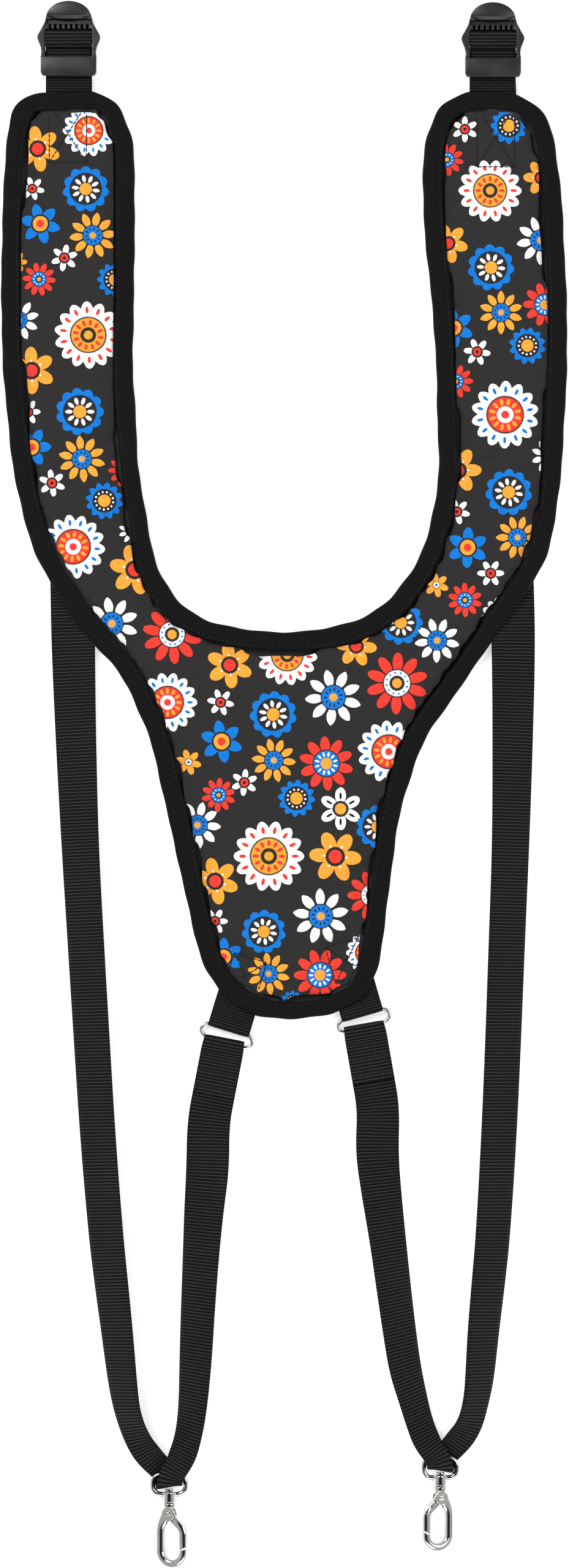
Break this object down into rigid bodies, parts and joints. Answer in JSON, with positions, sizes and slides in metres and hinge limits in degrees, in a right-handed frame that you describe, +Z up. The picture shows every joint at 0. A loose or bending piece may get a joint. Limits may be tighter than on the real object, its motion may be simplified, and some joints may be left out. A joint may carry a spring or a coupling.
{
  "type": "saxophone strap harness",
  "caption": "Padded shoulder harness for a saxophone: a printed yoke with webbing straps laced through ladder-lock buckles, metal rings and swivel snap hooks.",
  "frame": {"origin": "centre of the bounding box, on the surface the harness lies on", "axes": "+X across the shoulders, +Y from the hooks towards the buckles, +Z up out of the printed face"},
  "size_m": [0.3131, 0.8644, 0.0135],
  "materials": {
    "printed_cloth": "matt woven cloth with a bright flower print",
    "foam": "soft foam",
    "lining_cloth": "matt knitted cloth",
    "binding_tape": "ribbed tape with a slight sheen",
    "tab_webbing": "fine ribbed webbing",
    "webbing": "ribbed webbing with a slight sheen",
    "black_plastic": "satin moulded plastic",
    "nickel_wire": "polished nickel",
    "nickel_cast": "polished nickel casting",
    "rivet_steel": "polished rivet head",
    "spring_steel": "bare spring wire"
  },
  "bodies": {
    "harness": {"face_fabric": "printed_cloth", "foam_core": "foam", "back_lining": "lining_cloth", "edge_binding": "binding_tape", "buckle_tab_left": "tab_webbing", "strap_under_left": "webbing", "strap_outer_left": "webbing", "strap_bight_left": "webbing", "strap_inner_left": "webbing", "ring_tab_left": "tab_webbing", "buckle_tab_right": "tab_webbing", "strap_under_right": "webbing", "strap_outer_right": "webbing", "strap_bight_right": "webbing", "strap_inner_right": "webbing", "ring_tab_right": "tab_webbing"},
    "buckle_left": {"ladder_buckle_left": "black_plastic", "strap_threading_left": "webbing"},
    "ring_body_left": {"ring_left": "nickel_wire"},
    "end_left": {"strap_end_left": "webbing"},
    "eye_left": {"hook_eye_left": "nickel_cast"},
    "hook_left": {"hook_body_left": "nickel_cast", "gate_pin_left": "rivet_steel"},
    "gate_left": {"hook_gate_left": "nickel_cast", "gate_spring_left": "spring_steel"},
    "buckle_right": {"ladder_buckle_right": "black_plastic", "strap_threading_right": "webbing"},
    "ring_body_right": {"ring_right": "nickel_wire"},
    "end_right": {"strap_end_right": "webbing"},
    "eye_right": {"hook_eye_right": "nickel_cast"},
    "hook_right": {"hook_body_right": "nickel_cast", "gate_pin_right": "rivet_steel"},
    "gate_right": {"hook_gate_right": "nickel_cast", "gate_spring_right": "spring_steel"}
  },
  "joints": [
    {"name": "buckle_rock_left", "type": "hinge", "parent": "harness", "child": "buckle_left", "pos_m": [-0.1191, 0.4028, 0.004], "axis": [1, 0, 0], "range_deg": [0, 14]},
    {"name": "ring_swing_left", "type": "hinge", "parent": "harness", "child": "ring_body_left", "pos_m": [-0.03054, -0.13445, 0.0026], "axis": [-0.9563, 0.2924, 0], "range_deg": [0, 16]},
    {"name": "strap_end_fold_left", "type": "hinge", "parent": "harness", "child": "end_left", "pos_m": [-0.04219, -0.18742, 0], "axis": [0.9816, -0.1908, 0], "range_deg": [0, 3.5]},
    {"name": "eye_swing_left", "type": "hinge", "parent": "harness", "child": "eye_left", "pos_m": [-0.0636, -0.3811, 0.005], "axis": [-1, 0, 0], "range_deg": [0, 60]},
    {"name": "hook_swivel_left", "type": "hinge", "parent": "eye_left", "child": "hook_left", "pos_m": [-0.0636, -0.3961, 0.005], "axis": [0, 1, 0], "continuous": true},
    {"name": "gate_open_left", "type": "hinge", "parent": "hook_left", "child": "gate_left", "pos_m": [-0.0636, -0.4025, 0.005], "axis": [0.342, 0, -0.9397], "range_deg": [0, 20], "stiffness_Nm_per_rad": 0.02, "springref_deg": -20.05},
    {"name": "buckle_rock_right", "type": "hinge", "parent": "harness", "child": "buckle_right", "pos_m": [0.115, 0.4021, 0.004], "axis": [1, 0, 0], "range_deg": [0, 14]},
    {"name": "ring_swing_right", "type": "hinge", "parent": "harness", "child": "ring_body_right", "pos_m": [0.04262, -0.12623, 0.0026], "axis": [-0.9613, -0.2756, 0], "range_deg": [0, 16]},
    {"name": "strap_end_fold_right", "type": "hinge", "parent": "harness", "child": "end_right", "pos_m": [0.05201, -0.17977, 0], "axis": [0.9848, 0.1736, 0], "range_deg": [0, 3.5]},
    {"name": "eye_swing_right", "type": "hinge", "parent": "harness", "child": "eye_right", "pos_m": [0.086, -0.372, 0.005], "axis": [-1, 0, 0], "range_deg": [0, 60]},
    {"name": "hook_swivel_right", "type": "hinge", "parent": "eye_right", "child": "hook_right", "pos_m": [0.086, -0.387, 0.005], "axis": [0, 1, 0], "continuous": true},
    {"name": "gate_open_right", "type": "hinge", "parent": "hook_right", "child": "gate_right", "pos_m": [0.086, -0.3934, 0.005], "axis": [0.342, 0, 0.9397], "range_deg": [0, 20], "stiffness_Nm_per_rad": 0.02, "springref_deg": -20.05}
  ],
  "couplings": [
    {"joint": "strap_end_fold_left", "follows": "ring_swing_left", "ratio": 0.2034},
    {"joint": "strap_end_fold_right", "follows": "ring_swing_right", "ratio": 0.2034}
  ]
}
